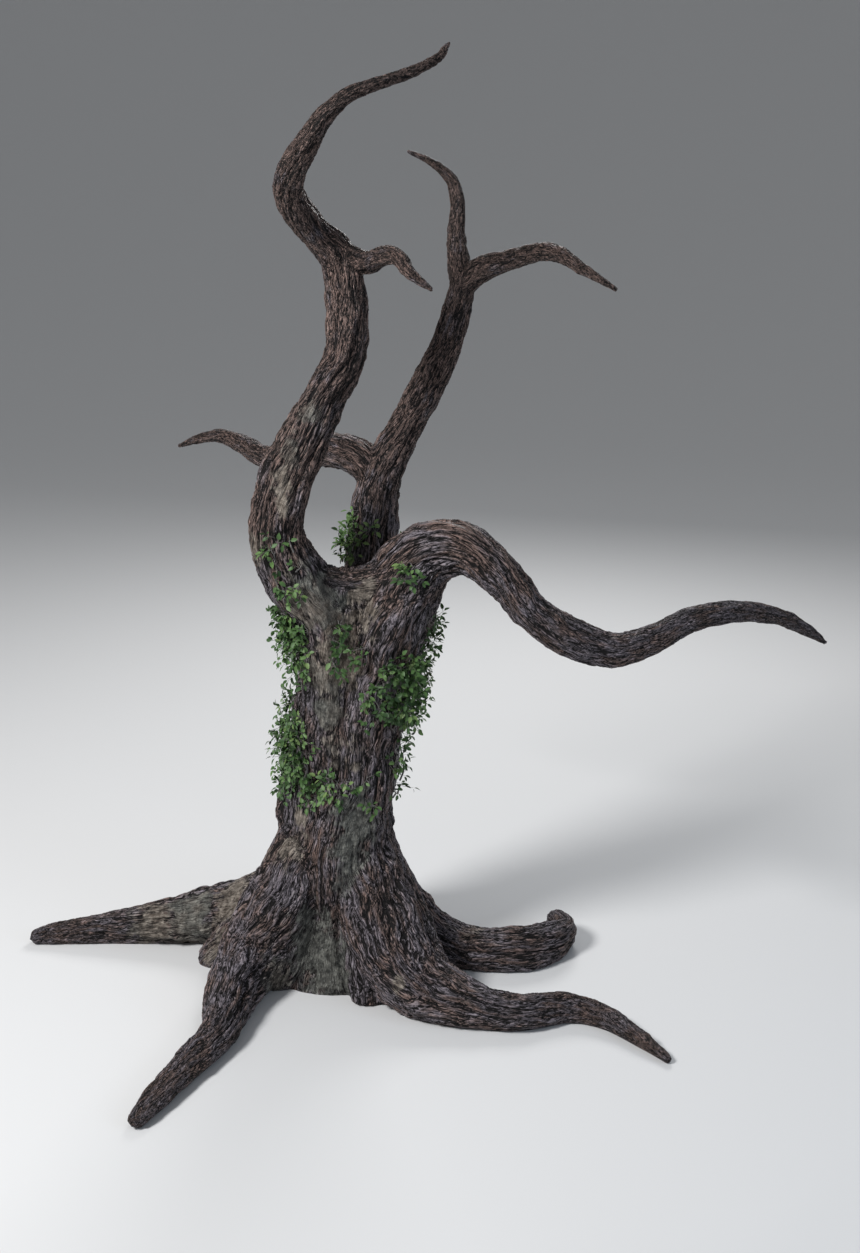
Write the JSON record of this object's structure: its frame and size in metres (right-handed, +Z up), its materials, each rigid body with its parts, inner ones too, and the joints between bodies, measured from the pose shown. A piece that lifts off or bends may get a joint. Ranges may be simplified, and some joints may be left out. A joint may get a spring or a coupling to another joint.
{
  "type": "dead tree",
  "caption": "Leafless dead tree with a twisted fluted trunk, roots sprawling on the ground, winding tapering boughs and a small-leaved creeper climbing to the fork.",
  "frame": {"origin": "middle of the trunk's heart on the flat cut at ground level", "axes": "+Z up the trunk, +X towards the side of the long bough, -Y towards the side of the two front roots"},
  "size_m": [4.736, 2.7257, 5.1383],
  "materials": {
    "bark": "deeply furrowed old bark, dark brown to grey, with pale worn patches",
    "leaf": "small mid-green creeper leaves on thin grey-brown woody runners, a little glossy"
  },
  "bodies": {
    "root": {"trunk": "bark", "arm_back_low": "bark", "arm_back_middle": "bark", "arm_back_tip": "bark", "bough_right_arch": "bark", "bough_right_fall": "bark", "bough_right_sweep": "bark", "bough_right_tip": "bark", "crook_high": "bark", "crook_low": "bark", "crook_tip": "bark", "prong_right": "bark", "prong_right_tip": "bark", "prong_up": "bark", "prong_up_tip": "bark", "root_front_left_end": "bark", "root_front_left_thick": "bark", "root_front_right_end": "bark", "root_front_right_thick": "bark", "root_left_end": "bark", "root_left_thick": "bark", "root_right_hook": "bark", "root_right_thick": "bark", "stem_back_high": "bark", "stem_back_low": "bark", "stem_left_low": "bark", "stem_left_middle": "bark", "stem_left_top": "bark", "twig": "bark", "creeper_back_lower": "leaf", "creeper_back_upper": "leaf", "creeper_belt": "leaf", "creeper_bough": "leaf", "creeper_fork": "leaf", "creeper_front": "leaf", "creeper_left_lower": "leaf", "creeper_left_upper": "leaf", "creeper_right": "leaf", "creeper_right_lower": "leaf", "creeper_stem": "leaf", "creeper_valley": "leaf"}
  },
  "joints": []
}
